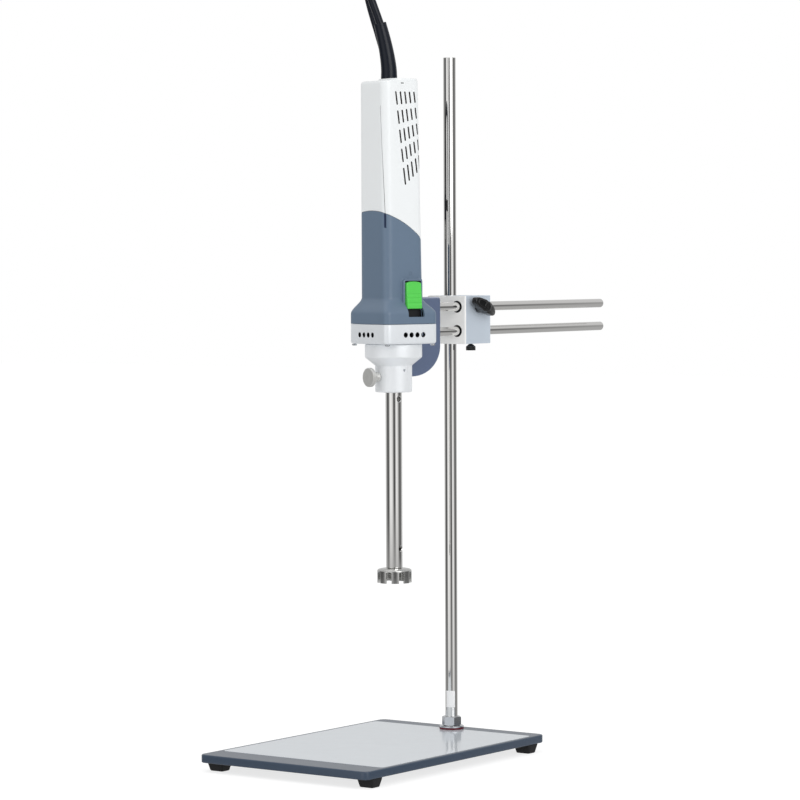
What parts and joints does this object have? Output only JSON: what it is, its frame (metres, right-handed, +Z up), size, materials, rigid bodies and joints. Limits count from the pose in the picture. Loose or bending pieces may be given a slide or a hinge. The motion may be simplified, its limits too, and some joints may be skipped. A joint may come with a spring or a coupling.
{
  "type": "rotor stator homogenizer",
  "caption": "Handheld-style rotor stator homogenizer held over a plate stand by rods in a clamp block, with slide switch, speed dial, slotted workhead and tied mains lead.",
  "frame": {"origin": "centre of the stand's top panel on its upper face, where the vessel stands", "axes": "+Z up along the column; +Y from the plate's free end to the column; +X to the side that carries the drive and the rod clamp knob"},
  "size_m": [0.2, 0.5228, 0.7873],
  "materials": {
    "slate_paint": "semi-gloss slate paint",
    "panel_grey": "glossy light grey panel",
    "rubber": "matt black rubber",
    "chrome": "polished chrome",
    "steel": "machined stainless steel",
    "aluminium": "satin anodised aluminium",
    "gasket_red": "dark red fibre gasket",
    "bracket_blue": "blue grey powder coat",
    "housing_white": "white moulded plastic",
    "housing_grey": "blue grey moulded plastic",
    "switch_green": "bright green plastic",
    "black_plastic": "black plastic",
    "copper": "copper and brass",
    "board_green": "green circuit board",
    "ptfe": "white bearing plastic"
  },
  "bodies": {
    "stand": {"base_plate": "slate_paint", "top_panel": "panel_grey", "foot_front_left": "rubber", "foot_front_right": "rubber", "foot_back_left": "rubber", "foot_back_right": "rubber", "column": "chrome", "column_gasket": "gasket_red", "column_washer": "steel", "column_nut": "steel"},
    "bush": {"guide_bush": "ptfe"},
    "clamp": {"clamp_block": "aluminium"},
    "rod_knob": {"rod_clamp_knob": "black_plastic"},
    "column_knob": {"column_clamp_knob": "black_plastic"},
    "rod_lock": {"rod_lock_screw": "black_plastic"},
    "arm": {"upper_rod": "chrome", "lower_rod": "chrome", "bracket": "bracket_blue", "bracket_screw_upper": "steel", "bracket_screw_lower": "steel", "upper_housing": "housing_white", "lower_housing": "housing_grey", "flange_ring": "aluminium", "flange_screw_1": "steel", "flange_screw_2": "steel", "flange_screw_3": "steel", "flange_screw_4": "steel", "nose": "aluminium", "generator_tube": "chrome", "stator_head": "steel", "shaft_bush_upper": "ptfe", "shaft_bush_lower": "ptfe", "lower_bearing": "steel", "upper_bearing": "steel", "motor_field": "steel", "brush_bridge": "black_plastic", "brush_front": "rubber", "brush_back": "rubber", "brush_holder_front": "copper", "brush_holder_back": "copper", "control_board": "board_green", "switch_block": "black_plastic", "dial_potentiometer": "black_plastic", "strain_relief": "black_plastic", "cord_tube": "rubber", "cord_hank": "rubber", "cord_tie": "black_plastic", "plug_body": "black_plastic", "plug_pin_1": "steel", "plug_pin_2": "steel"},
    "tube_lock": {"tube_lock_screw": "steel"},
    "switch": {"power_switch": "switch_green"},
    "dial": {"speed_dial": "housing_white"},
    "rotor": {"armature": "steel", "commutator": "copper", "cooling_fan": "black_plastic", "spindle": "steel", "coupling": "steel", "drive_shaft": "steel", "rotor_head": "steel"}
  },
  "joints": [
    {"name": "carriage_height", "type": "slide", "parent": "stand", "child": "bush", "axis": [0, 0, 1], "range_m": [-0.155, 0.22]},
    {"name": "carriage_swivel", "type": "hinge", "parent": "bush", "child": "clamp", "pos_m": [0, 0.1304, 0.4125], "axis": [0, 0, 1], "continuous": true},
    {"name": "arm_reach", "type": "slide", "parent": "clamp", "child": "arm", "axis": [0, 1, 0], "range_m": [-0.2, 0.035]},
    {"name": "rod_knob_turn", "type": "hinge", "parent": "clamp", "child": "rod_knob", "pos_m": [0.034, 0.1304, 0.4255], "axis": [1, 0, 0], "range_deg": [0, 720]},
    {"name": "column_knob_turn", "type": "hinge", "parent": "clamp", "child": "column_knob", "pos_m": [-0.012, 0.1304, 0.4125], "axis": [-1, 0, 0], "range_deg": [0, 720]},
    {"name": "rod_lock_turn", "type": "hinge", "parent": "clamp", "child": "rod_lock", "pos_m": [0.0238, 0.132, 0.3885], "axis": [0, 0, -1], "range_deg": [0, 720]},
    {"name": "tube_lock_turn", "type": "hinge", "parent": "arm", "child": "tube_lock", "pos_m": [0.024, 0, 0.3594], "axis": [-0.3057, -0.9521, 0], "range_deg": [0, 720]},
    {"name": "power_switch_slide", "type": "slide", "parent": "arm", "child": "switch", "axis": [0, 0, -1], "range_m": [0, 0.0065]},
    {"name": "speed_dial_turn", "type": "hinge", "parent": "arm", "child": "dial", "pos_m": [0.03517, 0.00534, 0.6395], "axis": [0.3057, 0.9521, 0], "range_deg": [0, 270]},
    {"name": "spindle_spin", "type": "hinge", "parent": "arm", "child": "rotor", "pos_m": [0.024, 0, 0.4], "axis": [0, 0, 1], "continuous": true}
  ]
}
